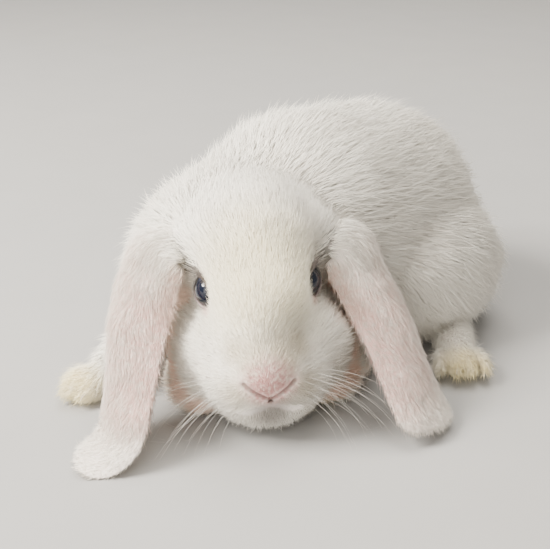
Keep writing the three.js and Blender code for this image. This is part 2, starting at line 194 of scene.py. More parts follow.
# Every group of masses, how its own masses melt into one, and how it melts into those before it.
flesh = [
    ("trunk", 16, 1, [
        body_mass([-0.16, -0.55, 0.39], [0.44, 0.34, 0.39], CHEST_COAT),
        body_mass([-0.06, -0.2, 0.47], [0.47, 0.44, 0.48], BACK_COAT),
        body_mass([0.02, 0.16, 0.46], [0.48, 0.46, 0.46], BACK_COAT),
        body_mass([0.05, 0.38, 0.3], [0.42, 0.3, 0.3], SEAT_COAT),
        body_mass([-0.02, -0.08, 0.17], [0.42, 0.52, 0.19], BELLY_COAT),
    ]),
    ("neck", 8, 12, [body_mass([-0.04, -0.61, 0.44], [0.3, 0.24, 0.35], NAPE_COAT, (0, 0, 20))]),
    ("head", 7.5, 6, head_masses),
    ("tail", 4, 5, [body_mass([0.07, 0.69, 0.22], [0.1, 0.09, 0.15], TAIL_COAT, (25, 0, 0))]),
    ("thigh_left", 8, 8, [
        body_mass([0.44, 0.1, 0.28], [0.2, 0.34, 0.29], THIGH_COAT, (0, 0, -12)),
    ]),
    ("thigh_right", 8, 8, [
        body_mass([-0.38, 0.14, 0.27], [0.2, 0.34, 0.28], THIGH_COAT, (0, 0, 8)),
    ]),
    ("foreleg_left", 6, 8, [body_mass([0.32, -0.46, 0.2], [0.14, 0.2, 0.2], LEG_COAT)]),
    ("foreleg_right", 8, 8, [
        body_mass([-0.4, -0.66, 0.28], [0.18, 0.22, 0.28], LEG_COAT),
        body_mass([-0.38, -0.92, 0.11], [0.1, 0.26, 0.11], LEG_COAT, (8, 0, 6)),
    ]),
] + [(name, 4, 3, masses) for name, masses in feet.items()]


def coat_at(p, columns=slice(None)):
    """The distance of places from the coat's outline, and the coat of the masses about them,
    each weighed by how near it is."""
    whole = np.full(len(p), 1e3)
    weights, rows = np.zeros(len(p)), 0
    for name, own_melt, melt, masses in flesh:
        group = np.full(len(p), 1e3)
        for one in masses:
            d = distance(one, p)
            group = melted(group, d, own_melt)
            weight = np.exp(-np.clip(d, -12, 60) / 3)
            weights = weights + weight
            rows = rows + weight[:, None] * one[3].row[columns]
        if name == "head":
            sockets = melted(distance(orbits[0], p), distance(orbits[1], p), 1)
            group = scooped(group, sockets, 5)
        whole = melted(whole, group, melt)
    return whole, rows / weights[:, None]


def from_line(p, line):
    """The distance of places from a line through several points."""
    nearest = np.full(len(p), 1e3)
    for a, b in zip(line[:-1], line[1:]):
        t = np.clip((p - a) @ (b - a) / ((b - a) @ (b - a)), 0, 1)
        nearest = np.minimum(nearest, np.linalg.norm(p - a - t[:, None] * (b - a), axis=1))
    return nearest


def creases():
    """The creases of the face: half their width, their depth, and their line on the head."""
    for s in SIDES.values():  # the nostrils
        yield 1.05, 2.4, [(8 * s, -31.4, -18.5), (4.6 * s, -33.1, -21.2), (1.1 * s, -33.5, -24.2)]
    yield 0.9, 2.2, [(0, -33.5, -24), (0, -31.4, -27.2)]  # the split of the upper lip
    for s in SIDES.values():  # the mouth
        yield 1.0, 1.2, [(0, -31.4, -27.2), (4 * s, -31.4, -29.6), (9 * s, -28.4, -31.2)]


EYE_RADIUS = 6.1
LID_LENGTH, LID_HEIGHT = 12.0, 9.4  # of the opening between the lids
LID_THICK, LID_PROUD = 0.8, 0.35
FLOOR_GAP = 0.7  # the skin is flat where it rests, and this far off the floor


def eye_frame(side):
    """The middle of an eyeball, the directions it looks, lies along and lies across, and the way
    up its lids."""
    middle = from_head([14.3 * side, -0.5, -2.6])
    aim = HEAD_AXES @ unit(np.array([0.83 * side, -0.52, 0.2]))
    slope = HEAD_AXES @ np.array([0, -0.78, -0.62])
    along = unit(slope - aim * (slope @ aim))
    return middle, aim, along, np.cross(aim, along), np.cross(along, aim) * side


eyes = {name: eye_frame(side) for name, side in SIDES.items()}


def lid_line(eye, proud):
    """The almond-shaped rim of the lids, on the eyeball or proud of it."""
    middle, aim, along, across, _ = eye
    round_it = np.linspace(0, 2 * np.pi, 33)
    u = np.cos(round_it) * LID_LENGTH / 2
    v = np.sign(np.sin(round_it)) * (1 - np.cos(round_it) ** 2) ** 0.8 * LID_HEIGHT / 2
    w = np.sqrt((EYE_RADIUS + proud) ** 2 - u * u - v * v)
    return middle + w[:, None] * aim + u[:, None] * along + v[:, None] * across


def smooth_skin_at(p):
    """The distance of places from the skin before its creases, lids and floor are cut."""
    d, rows = coat_at(p, slice(0, 1))
    return d + rows[:, 0]


def skin_at(p):
    """The distance of places from the skin, negative inside."""
    d = smooth_skin_at(p)
    for width, depth, line in face_creases:
        near = np.linalg.norm(p - line.mean(0), axis=1) < 14
        away = from_line(p[near], line) / width
        d[near] += depth * np.maximum(1 - away * away, 0) ** 2
    for eye in eyes.values():
        middle, aim, along, across, _ = eye
        near = np.linalg.norm(p - middle, axis=1) < 13
        q = p[near] - middle
        lid = from_line(p[near], lid_line(eye, LID_PROUD)) - LID_THICK
        here = melted(d[near], lid, 1.6)
        here = scooped(here, np.linalg.norm(q, axis=1) - EYE_RADIUS - 0.12, 0.2)
        u, v, w = q @ along, q @ across, q @ aim
        almond = np.abs(v) / (LID_HEIGHT / 2) + (u / (LID_LENGTH / 2)) ** 2 - 1
        opening = np.maximum(almond * LID_HEIGHT / 2.4, 2 - w)
        d[near] = scooped(here, opening + 0.15, 0.5)
    return np.maximum(d, FLOOR_GAP - p[:, 2])


def in_lots(work, p, lot=200_000):
    return np.concatenate([work(p[i:i + lot]) for i in range(0, len(p), lot)])


def steps(low, high, fine_low, fine_high, fine, coarse):
    """Grid lines from low to high, close between the two fine limits."""
    return np.concatenate([
        np.arange(fine_low, low, -coarse)[:0:-1],
        np.arange(fine_low, fine_high, fine),
        np.arange(fine_high, high, coarse),
    ])


def net(distance_at, lines):
    """The closed surface where the distance is nought: a vertex in each crossed cell of the grid,
    settled on the surface, and two triangles about each crossed edge."""
    shape = tuple(len(line) for line in lines)
    grid = np.stack(np.meshgrid(*lines, indexing="ij"), -1).reshape(-1, 3)
    values = in_lots(distance_at, grid).reshape(shape)
    inside = values < 0
    cells = tuple(n - 1 for n in shape)
    corners = [(a & 1, a >> 1 & 1, a >> 2 & 1) for a in range(8)]
    part = [inside[i:i + cells[0], j:j + cells[1], k:k + cells[2]] for i, j, k in corners]
    count = sum(block.astype(np.int8) for block in part)
    at = np.argwhere((count > 0) & (count < 8))
    total, crossings = np.zeros((len(at), 3)), np.zeros(len(at))
    for a in range(8):
        for bit in (1, 2, 4):
            if a & bit:
                continue
            first, second = at + corners[a], at + corners[a | bit]
            da, db = values[tuple(first.T)], values[tuple(second.T)]
            crossed = (da < 0) != (db < 0)
            t = np.where(crossed, da / np.where(crossed, da - db, 1), 0)
            one = np.stack([line[i] for line, i in zip(lines, first.T)], 1)
            two = np.stack([line[i] for line, i in zip(lines, second.T)], 1)
            total += np.where(crossed[:, None], one + t[:, None] * (two - one), 0)
            crossings += crossed
    points = total / crossings[:, None]
    number = np.full(cells, -1)
    number[tuple(at.T)] = np.arange(len(at))

    triangles = []
    for axis in range(3):
        ahead = np.zeros(3, int)
        ahead[axis] = 1
        inner = tuple(slice(0 if n == axis else 1, size - 1) for n, size in enumerate(shape))
        outer = tuple(slice(ahead[n] + (0 if n == axis else 1), size - 1 + ahead[n])
                      for n, size in enumerate(shape))
        found = np.argwhere(inside[inner] != inside[outer]) + [0 if n == axis else 1 for n in range(3)]
        u, v = np.zeros(3, int), np.zeros(3, int)
        u[(axis + 1) % 3], v[(axis + 2) % 3] = 1, 1
        quad = np.stack([number[tuple((found - off).T)] for off in (0 * u, u, u + v, v)], 1)
        backwards = ~inside[tuple(found.T)]
        quad[backwards] = quad[backwards][:, ::-1]
        triangles += [quad[:, [0, 1, 2]], quad[:, [0, 2, 3]]]
    return settled(distance_at, points), np.concatenate(triangles)


def slope_at(distance_at, p):
    """The gradient of a distance at places: the way out of the surface."""
    h = 0.04
    return np.stack([
        (in_lots(distance_at, p + step) - in_lots(distance_at, p - step)) / (2 * h)
        for step in h * np.eye(3)
    ], 1)


def settled(distance_at, p, rounds=2, furthest=0.9):
    """Places moved onto the surface along the slope of the field."""
    start = p
    for _ in range(rounds):
        d = in_lots(distance_at, p)
        slope = slope_at(distance_at, p)
        step = (d / np.maximum((slope * slope).sum(1), 0.25))[:, None] * slope
        p = start + (p - step - start).clip(-furthest, furthest)
    return p


def swept(curve_points, t):
    """Places and directions along a centripetal spline through points, at shares of its length."""
    p = np.array([2 * curve_points[0] - curve_points[1], *curve_points,
                  2 * curve_points[-1] - curve_points[-2]])
    fine = []
    for a, b, c, d in zip(p[:-3], p[1:-2], p[2:-1], p[3:]):
        ab, bc, cd = [np.linalg.norm(x) ** 0.5 for x in (b - a, c - b, d - c)]
        leave = ((b - a) / ab - (c - a) / (ab + bc) + (c - b) / bc) * bc
        arrive = ((c - b) / bc - (d - b) / (bc + cd) + (d - c) / cd) * bc
        x = np.linspace(0, 1, 40, endpoint=False)[:, None]
        fine.append(b + x * leave + x * x * (3 * (c - b) - 2 * leave - arrive)
                    + x ** 3 * (leave + arrive - 2 * (c - b)))
    fine = np.concatenate([*fine, p[-2:-1]])
    run = np.concatenate([[0], np.cumsum(np.linalg.norm(np.diff(fine, axis=0), axis=1))])
    run /= run[-1]
    at = np.stack([np.interp(t, run, fine[:, n]) for n in range(3)], 1)
    on = np.stack([np.interp(np.minimum(t + 0.01, 1), run, fine[:, n])
                   - np.interp(np.maximum(t - 0.01, 0), run, fine[:, n]) for n in range(3)], 1)
    return at, unit(on)


face_creases = []
for width, depth, line in creases():
    line, _ = swept(from_head(line), np.linspace(0, 1, 7))
    face_creases.append((width, depth, settled(smooth_skin_at, line, furthest=4)))

FINE, COARSE = 0.75, 1.7
skin_points, skin_triangles = net(skin_at, [
    steps(-64, 84, -15, 47, FINE, COARSE),
    steps(-122, 78, -111, -55, FINE, COARSE),
    steps(-1, 92, 14, 60, FINE, COARSE),
])
on_floor = skin_points[:, 2] < FLOOR_GAP + 0.3
skin_points[on_floor, 2] = np.maximum(skin_points[on_floor, 2], FLOOR_GAP)


def smoothstep(x, low, high):
    x = np.clip((x - low) / (high - low), 0, 1)
    return x * x * (3 - 2 * x)


EAR_WIDTH, EAR_CUP = 27, 6
EAR_FLESH = 2.2  # the flap without its hair
EAR_COAT = Coat(1.0, 6.0, 0.22, 3.6)
EAR_STATIONS, EAR_SIDES = 90, 36
ear_lines = {
    "left": (
        [(20, -52, 55), (30, -46.3, 55), (40.5, -47, 43), (50, -49.5, 32), (58.8, -53.4, 21),
         (67, -56.7, 10.5), (76, -60.4, 2.8)],
        [(0.1, 1, 0.1), (0.07, 1, 0)],
    ),
    "right": (
        [(-6, -76, 55), (-16.2, -85, 55), (-17.2, -93.4, 47.7), (-14.4, -102.8, 37),
         (-9.8, -111, 27), (-5.4, -119.5, 16), (-3.2, -126, 7.5), (-7.5, -130.5, 3.4),
         (-13.5, -134, 3.2)],
        [(-1, 0, 0.1), (-0.85, 0.4, 0)],
    ),
}


def ring_triangles(rings, sides):
    """The triangles of rings of points that are closed by a point at each end."""
    i, j = np.meshgrid(np.arange(rings - 1), np.arange(sides), indexing="ij")
    a, b = i * sides + j, i * sides + (j + 1) % sides
    around, after = np.arange(sides), (np.arange(sides) + 1) % sides
    last = (rings - 1) * sides
    first_end, last_end = np.full(sides, rings * sides), np.full(sides, rings * sides + 1)
    return np.concatenate([
        np.stack([a, b, b + sides], -1).reshape(-1, 3),
        np.stack([a, b + sides, a + sides], -1).reshape(-1, 3),
        np.stack([first_end, after, around], -1),
        np.stack([last_end, last + around, last + after], -1),
    ])


def ear_skin(side, line, across):
    """A cupped leaf swept down its line, with the way each of its places lies to the tip, and how
    far over to an edge it is: -1 at the edge beside the face and 1 at the other."""
    t = np.linspace(0, 0.975, EAR_STATIONS)
    middle, along = swept(np.array(line, float), t)
    first, last = np.array(across)
    wide = first + t[:, None] * (last - first)
    wide = unit(wide - along * (wide * along).sum(1, keepdims=True))
    out = np.cross(along, wide) * side
    swell = (0.6 + 0.4 * smoothstep(t, 0, 0.22)) * (1 - 0.06 * smoothstep(t, 0.35, 0.7))
    breadth = swell * np.sqrt(1 - np.maximum((t - 0.86) / 0.12, 0).clip(0, 0.995) ** 5)
    half = np.maximum(EAR_WIDTH / 2 * breadth - EAR_COAT.row[0], 0.3)
    thick = EAR_FLESH / 2 * (1 + 2.2 * (1 - smoothstep(t, 0, 0.3))) * breadth ** 0.3
    cup = EAR_CUP * np.minimum(1, 1.6 * (1 - t) + 0.15) * breadth
    turn = np.arange(EAR_SIDES) * 2 * np.pi / EAR_SIDES
    c, s = np.cos(turn), np.sin(turn)
    ripple = 0.35 * np.sin(9 * t)[:, None] * np.cos(3 * turn) * smoothstep(t, 0.2, 0.5)[:, None]
    rise = thick[:, None] * s + cup[:, None] * (0.5 - c * c) + ripple
    p = middle[:, None] + wide[:, None] * (half[:, None] * c)[..., None]
    p += out[:, None] * rise[..., None]
    lie = along[:, None] + wide[:, None] * (0.12 * c)[None, :, None] + 0 * p
    p = np.concatenate([p.reshape(-1, 3), middle[:1], middle[-1:]])
    lie = np.concatenate([lie.reshape(-1, 3), along[:1], along[-1:]])
    triangles = ring_triangles(EAR_STATIONS, EAR_SIDES)
    over_edge = np.append(np.tile(c, EAR_STATIONS), [0, 0])
    return p, triangles[:, ::-1] if side < 0 else triangles, lie, over_edge


def outward(points, triangles):
    """The way out at each vertex, and the area of each triangle."""
    a, b, c = (points[triangles[:, n]] for n in range(3))
    face = np.cross(b - a, c - a)
    out = np.stack([
        sum(np.bincount(triangles[:, n], face[:, axis], len(points)) for n in range(3))
        for axis in range(3)
    ], 1)
    return unit(out), np.linalg.norm(face, axis=1) / 2


def mesh_object(name, points, faces, material=None):
    """A smooth mesh object from points in millimetres and faces with the same number of corners."""
    made = bpy.data.meshes.new(name)
    made.vertices.add(len(points))
    made.vertices.foreach_set("co", (points * MM).astype(np.float32).ravel())
    made.loops.add(faces.size)
    made.loops.foreach_set("vertex_index", faces.astype(np.int32).ravel())
    made.polygons.add(len(faces))
    made.polygons.foreach_set("loop_start", np.arange(0, faces.size, faces.shape[1], dtype=np.int32))
    made.polygons.foreach_set("use_smooth", np.ones(len(faces), bool))
    made.update(calc_edges=True)
    if material:
        made.materials.append(material)
    return placed(name, made)


def keep(piece, label, values):
    """A number for each vertex of a piece, kept as an attribute for its material."""
    attribute = piece.data.attributes.new(label, "FLOAT", "POINT")
    attribute.data.foreach_set("value", np.asarray(values, np.float32))


# The coat's own facts at each vertex of the skin, on the body and then on the ears.
_, body_rows = coat_at(skin_points)
out_of_skin, _ = outward(skin_points, skin_triangles)
muzzle_tip = from_head([0, -40, -19])
near_head, others = [
    np.min([distance(one, skin_points) for group in flesh for one in group[3]
            if (group[0] == "head") == is_head], axis=0)
    for is_head in (True, False)
]
head_share = 1 / (1 + np.exp(np.clip((near_head - others) / 3, -30, 30)))
body_lie = unit(body_rows[:, 4:7]) * (1 - head_share[:, None])
body_lie += unit(skin_points - muzzle_tip) * head_share[:, None]
for eye in eyes.values():
    away = skin_points - eye[0]
    near = np.exp(-np.maximum(np.linalg.norm(away, axis=1) - EYE_RADIUS, 0) / 2.5)
    body_lie += 1.2 * near[:, None] * unit(away)


def beside(lines, inner, outer):
    """One within the inner distance of any of the lines, nought past the outer one."""
    return np.max([1 - smoothstep(from_line(skin_points, x), inner, outer) for x in lines], axis=0)


# Over each eye the coat is thin and long, and the skin shows through it. That skin is painted
# near-black: partly dusky skin and partly painted shade between the brow and the root of the ear.
over_eyes = [
    from_head([((20 + 4.5 * t) * s, 1.5 + 7.5 * t, 0.3 + 7.7 * t) for t in (0, 0.5, 1)])
    for s in SIDES.values()
]
thin_here = beside(over_eyes, 2, 5)
body_rows[:, 3] *= 1 - 0.72 * thin_here
body_rows[:, 1] *= 1 + 0.9 * thin_here

# Beside a crease the hair is short and lies away from it.
for _, _, line in face_creases:
    away = partial(from_line, line=line)
    near = np.flatnonzero(away(skin_points) < 6)
    pull = np.exp(-away(skin_points[near]) / 1.6)[:, None]
    body_lie[near] += 4 * pull * slope_at(away, skin_points[near])
    body_rows[near, 1] *= 1 - 0.6 * pull[:, 0]

# Lids, sockets, the floors of creases and the flat underside are bare.
bare = np.zeros(len(skin_points), bool)
for eye in eyes.values():
    middle, aim, along, across, _ = eye
    rim = from_line(skin_points, lid_line(eye, LID_PROUD))
    q = skin_points - middle
    almond = np.abs(q @ across) / (LID_HEIGHT / 2) + (q @ along / (LID_LENGTH / 2)) ** 2 - 1
    deep = np.linalg.norm(q, axis=1) - EYE_RADIUS
    bare |= (rim < LID_THICK + 0.1) | (deep < 0.4) | ((deep < 1.5) & (almond < 0.1) & (q @ aim > 0))
    body_rows[:, 1] *= 0.4 + 0.6 * smoothstep(rim, 1, 5)
for width, _, line in face_creases:
    bare |= from_line(skin_points, line) < width * 0.85
bare |= (skin_points[:, 2] < FLOOR_GAP + 0.4) & (out_of_skin[:, 2] < -0.8)
body_rows[bare, 3] = 0
# The first creases are the nostrils and the split of the lip; their floors get painted shade.
SHADED_CREASES = 3  # the nostrils and the split of the lip
crease = beside([line for _, _, line in face_creases[:SHADED_CREASES]], 0.6, 1.1)

# The ears join the body's skin. Their hair is shorter at the edges and on the tips, and they are
# pinkest along the edge beside the face.
all_points, all_triangles = [skin_points], [skin_triangles]
all_rows, all_lies = [body_rows[:, :4]], [body_lie]
part_of, ear_share = [np.zeros(len(skin_points), int)], [np.zeros(len(skin_points))]
for number, (name, (line, across)) in enumerate(ear_lines.items(), 1):
    p, triangles, lie, over_edge = ear_skin(SIDES[name], line, across)
    rows = np.tile(EAR_COAT.row[:4], (len(p), 1))
    from_root = np.linalg.norm(p - line[0], axis=1)
    rows[:, 1] *= 1 - 0.5 * smoothstep(from_root, 58, 76)
    rows[:, 1] *= 1 - 0.35 * np.abs(over_edge) ** 6
    rows[in_lots(skin_at, p) < 0.3, 3] = 0
    all_triangles.append(triangles + sum(len(x) for x in all_points))
    all_points.append(p)
    all_rows.append(rows)
    all_lies.append(lie)
    part_of.append(np.full(len(p), number))
    flap = smoothstep(from_root, 10, 32) * (1 - 0.85 * smoothstep(from_root, 56, 74))
    ear_share.append((0.68 - 0.32 * over_edge) * flap)
skin_points, skin_triangles = np.concatenate(all_points), np.concatenate(all_triangles)
coat_rows, coat_lies = np.concatenate(all_rows), unit(np.concatenate(all_lies))
part_of, ear_share = np.concatenate(part_of), np.concatenate(ear_share)
crease = np.concatenate([crease, np.zeros(len(ear_share) - len(crease))])
out_of_skin, skin_areas = outward(skin_points, skin_triangles)

skin = mesh_object("skin", skin_points, skin_triangles)
# Where the floors of the nostrils and the split lip get painted shade.
keep(skin, "crease", crease)
keep(skin, "ear", ear_share)


class Socket:
    """A node's output, with Math nodes behind the operators."""

    def __init__(self, tree, socket=None):
        self.tree, self.socket = tree, socket

    def node(self, kind, settings={}, values={}, output=0):
        """A new node of a type: its settings first, then the values or links of its sockets."""
        made = self.tree.nodes.new("ShaderNode" + kind)
        for name, value in settings.items():
            setattr(made, name, value)
        for key, value in values.items():
            if isinstance(value, Socket):
                self.tree.links.new(value.socket, made.inputs[key])
            else:
                made.inputs[key].default_value = value
        return Socket(self.tree, made.outputs[output]) if len(made.outputs) else None

    def math(self, operation, *values):
        return self.node("Math", {"operation": operation}, dict(enumerate(values)))

    def __add__(self, other):
        return self.math("ADD", self, other)

    __radd__ = __add__

    def __sub__(self, other):
        return self.math("SUBTRACT", self, other)

    def __rsub__(self, other):
        return self.math("SUBTRACT", other, self)

    def __mul__(self, other):
        return self.math("MULTIPLY", self, other)

    __rmul__ = __mul__


def place_in(material_name):
    """A new material with an empty tree, and the place on the piece as its first socket."""
    material = bpy.data.materials.new(material_name)
    material.use_nodes = True
    material.node_tree.nodes.clear()
    start = Socket(material.node_tree)
    return material, start.node("TexCoord", {}, {}, "Object")


def noise(place, scale, detail):
    return place.node("TexNoise", {}, {"Vector": place, "Scale": scale, "Detail": detail})


def attribute(place, label):
    return place.node("Attribute", {"attribute_name": label}, {}, "Fac")


def dressed(place, **inputs):
    """The end of a material: its surface, from values or links by socket."""
    inputs = {label.replace("_", " "): value for label, value in inputs.items()}
    surface = place.node("BsdfPrincipled", {}, inputs)
    place.node("OutputMaterial", {}, {"Surface": surface})


def smooth_mask(value, low, high):
    """Nought below low and one above high, or the other way round, with a soft change."""
    return value.node("MapRange", {"interpolation_type": "SMOOTHSTEP"},
                      {"Value": value, "From Min": low, "From Max": high, "To Min": 0, "To Max": 1})


def near_to(place, spot, inner, outer):
    """One within the inner distance of a spot, nought past the outer one, in millimetres."""
    ends = {0: place, 1: tuple(MM * np.array(spot))}
    away = place.node("VectorMath", {"operation": "DISTANCE"}, ends, "Value")
    return 1 - smooth_mask(away, inner * MM, outer * MM)


def near_any(place, spots, inner, outer):
    """The greatest of the masks about several spots."""
    first, *others = (near_to(place, spot, inner, outer) for spot in spots)
    for mask in others:
        first = first.math("MAXIMUM", first, mask)
    return first


def mixed(factor, one, two):
    """One colour turning into another by a factor."""
    return factor.node("Mix", {"data_type": "RGBA"}, {0: factor, 6: one, 7: two}, 2)


def both_sides(*spots):
    """Spots of the head, given for its left, on its left and its right."""
    return [from_head([x * s, y, z]) for s in SIDES.values() for x, y, z in spots]


nose_spot = from_head([0, -31.5, -18.6])
# Painted shade at the sides of the nose.
nose_sides = both_sides((9, -25.4, -10), (3.5, -28, -9), (6, -29, -11.6), (10, -29, -22))
# Painted shade under the nose, over the lip and chin.
under_nose = from_head([0, -30, -31])
eye_corners = [eye[0] + eye[1] * 4 + eye[2] * 5.5 for eye in eyes.values()]
# Between eyes and ears: the skin's salmon tint with a painted glow of light through the ears.
salmon_and_glow_spots = both_sides((26, 15, -12), (30, 17, -24), (32, 20, -36), (29, 4, -44))
# On the cheeks' edges: a painted glow of light through the ears.
cheek_glow_spots = both_sides(
    (30, 7, -17), (31, -2, -20), (32, -8, -27), (30, -12, -34), (24, -17, -39))
toe_spots = ((-38, -112, 4), (27, -62, 4), (70, -24, 5), (-50, -26, 5))
# The folds before the ears: pink skin darkened by painted shade.
ear_folds = ((-5, -91, 47), (-4, -95, 44), (-3, -99, 40), (33, -58, 46), (37, -59, 42), (41, -60, 37))


def marked(place, colour):
    """A colour with the rabbit's markings over it, and some painted light: a warm brow, pinkish ears,
    a salmon tint between the eyes and the ears that is partly the skin's and partly a painted glow
    of light through the ears, a painted glow on the edges of the cheeks, pink folds before the ears
    darkened by painted shade, pink lids, yellowish toes, and a mottled pink nose with painted shade
    at its sides and under it."""
    # The salmon colour is partly the skin's own and partly a painted glow of light through the ears.
    warm, ear_pink, salmon_and_glow = (0.97, 0.9, 0.66, 1), (0.95, 0.64, 0.58, 1), (0.98, 0.68, 0.54, 1)
    # The fold colour is pink darkened by painted shade.
    fold_pink_and_shade, lid_pink, straw = (0.74, 0.5, 0.42, 1), (0.76, 0.45, 0.4, 1), (0.99, 0.86, 0.46, 1)
    # The brownish colour is painted shade at the nose's sides; the dark one, painted shade under it.
    nose_side_shade, under_nose_shade, nose_pink = (0.6, 0.53, 0.4, 1), (0.16, 0.135, 0.13, 1), (0.6, 0.34, 0.32, 1)
    mottle, fuzz = noise(place, 260.0, 3.0), noise(place, 800.0, 2.0)
    for mask, tint in (
        (0.95 * near_to(place, from_head([0, -10, 8]), 6, 32), warm),
        (attribute(place, "ear") * (1.1 * mottle + 1.6 * fuzz - 0.6), ear_pink),
        # Salmon skin with a painted glow of light through the ears over it.
        (near_any(place, salmon_and_glow_spots, 5, 14) * (0.5 + 0.5 * mottle), salmon_and_glow),
        # Painted glow of light through the ears on the edges of the cheeks.
        (near_any(place, cheek_glow_spots, 2, 9) * (0.5 + 0.7 * fuzz), salmon_and_glow),
        # Pink folds darkened by painted shade.
        (near_any(place, ear_folds, 1.5, 8) * (1.6 * fuzz - 0.2), fold_pink_and_shade),
        (near_any(place, eye_corners, 1, 4.5) * 0.7, lid_pink),
        (near_any(place, toe_spots, 4, 17) * (0.3 + mottle), straw),
        # Painted shade at the sides of the nose.
        (0.75 * near_any(place, nose_sides, 1, 9), nose_side_shade),
        # Painted shade under the nose.
        (0.75 * near_to(place, under_nose, 2, 10), under_nose_shade),
        (near_to(place, nose_spot, 4, 12) * (2.6 * fuzz - 0.45), nose_pink),
    ):
        colour = mixed(mask, colour, tint)
    return colour


skin_material, place = place_in("pink_skin")
blotch = noise(place, 45.0, 4.0)
colour = mixed(smooth_mask(blotch, 0.35, 0.7), (0.94, 0.88, 0.83, 1), (0.92, 0.83, 0.78, 1))
colour = marked(place, colour)
eye_middles = [eye[0] for eye in eyes.values()]
rims = near_any(place, eye_middles, EYE_RADIUS + 0.9, EYE_RADIUS + 2.4)
# Painted shade in the mouth's opening, under the split of the lip.
mouth_shade_spot = from_head([0, -32, -26])
for mask, tint in (
    (rims * 0.85, (0.2, 0.14, 0.14, 1)),
    # Near-black over each eye: partly dusky skin, partly painted shade by the root of the ear.
    (near_any(place, np.concatenate(over_eyes), 2, 7) * 0.85, (0.09, 0.09, 0.08, 1)),
    # Painted shade in the floors of the nostrils and the split of the lip.
    (attribute(place, "crease") * 0.9, (0.1, 0.045, 0.04, 1)),
    # Painted shade in the mouth's opening.
    (near_to(place, mouth_shade_spot, 0.5, 1.3), (0.02, 0.012, 0.012, 1)),
):
    colour = mixed(mask, colour, tint)
grain = noise(place, 1400.0, 2.0)
bump = place.node("Bump", {}, {"Strength": 0.25, "Distance": 0.0003, "Height": grain})
dressed(place, Base_Color=colour, Roughness=0.62 - 0.15 * rims, Normal=bump, Specular_IOR_Level=0.3)
skin.data.materials.append(skin_material)
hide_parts(*[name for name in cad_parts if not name.startswith("eye")])
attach(skin, "root")

# ---- Coat ----------------------------------------------------------
# Soft white fur in thin pointed tufts rooted in the skin: four to seven millimetres long on the
# face, ears and feet, and about twelve on the body. It runs back from the nose over the brow and
# cheeks, down the ears to their tips, and back along the trunk, and its tips gather into locks.

coat_material, place = place_in("white_fur")
tone, up_tuft = attribute(place, "tone"), attribute(place, "up_tuft")
colour = mixed(tone, (0.92, 0.88, 0.79, 1), (0.98, 0.95, 0.865, 1))
colour = marked(place, colour)
colour = mixed(0.3 * (1 - tone), colour, (0.6, 0.5, 0.42, 1))
# Warmer, darker roots: partly the pinkish skin and partly painted shade deep in the coat.
colour = mixed(0.12 * (1 - smooth_mask(up_tuft, 0.0, 0.6)), colour, (0.8, 0.7, 0.64, 1))
dressed(place, Base_Color=colour, Roughness=0.7, Specular_IOR_Level=0.25, Sheen_Weight=0.15,
        Sheen_Roughness=0.4)


def wander(p, length, seed):
    """A smooth number from -1 to 1 that changes over about a length in millimetres."""
    ways = np.random.default_rng(seed).normal(size=(5, 3)) * 2.2 / length
    shifts = np.random.default_rng(seed + 1).uniform(0, 6.28, 5)
    return np.sin(p @ ways.T + shifts).sum(1) / 3.2


def unwrapped(p, out):
    """Each root's place on a flat unwrap of the skin's own shape: six sheets, one for each way
    that the skin faces, side by side."""
    facing = np.abs(out).argmax(1)
    sheet = facing * 2 + (out[np.arange(len(out)), facing] > 0)
    low, size = p.min(0), np.ptp(p, axis=0) + 1e-6
    share = (p - low) / size
    u = np.choose(facing, [share[:, 1], share[:, 0], share[:, 0]])
    v = np.choose(facing, [share[:, 2], share[:, 2], share[:, 1]])
    return np.stack([(sheet % 3 + 0.03 + 0.94 * u) / 3, (sheet // 3 + 0.03 + 0.94 * v) / 2], 1)


PATCH = 0.003  # a tuft's own patch of the unwrap
SUNK = 0.35  # how far under the skin a tuft starts
LOWEST = 0.06  # no hair comes nearer the floor
ROOT_HALF, KNEE_HALF = 0.42, 0.5  # of a tuft's width
CORNERS = 7  # three at the root, three at the knee halfway up, and the tip

# The faces of a tuft, and for each of their corners its share of the way up and round the tuft.
tuft_faces, tuft_marks = [], []
for j in range(3):
    a, b = j, (j + 1) % 3
    tuft_faces += [(a, b, b + 3), (a, b + 3, a + 3)]
    tuft_marks += [((0, j), (0, j + 1), (1, j + 1)), ((0, j), (1, j + 1), (1, j))]
for j in range(3):
    tuft_faces.append((3 + j, 3 + (j + 1) % 3, 6))
    tuft_marks.append(((1, j), (1, j + 1), (2, j + 0.5)))
tuft_faces.append((2, 1, 0))
tuft_marks.append(((0, 2), (0, 1), (0, 0)))
tuft_patch = PATCH * (np.array(tuft_marks, float).reshape(-1, 2) / [2, 3] - 0.5)[:, ::-1]


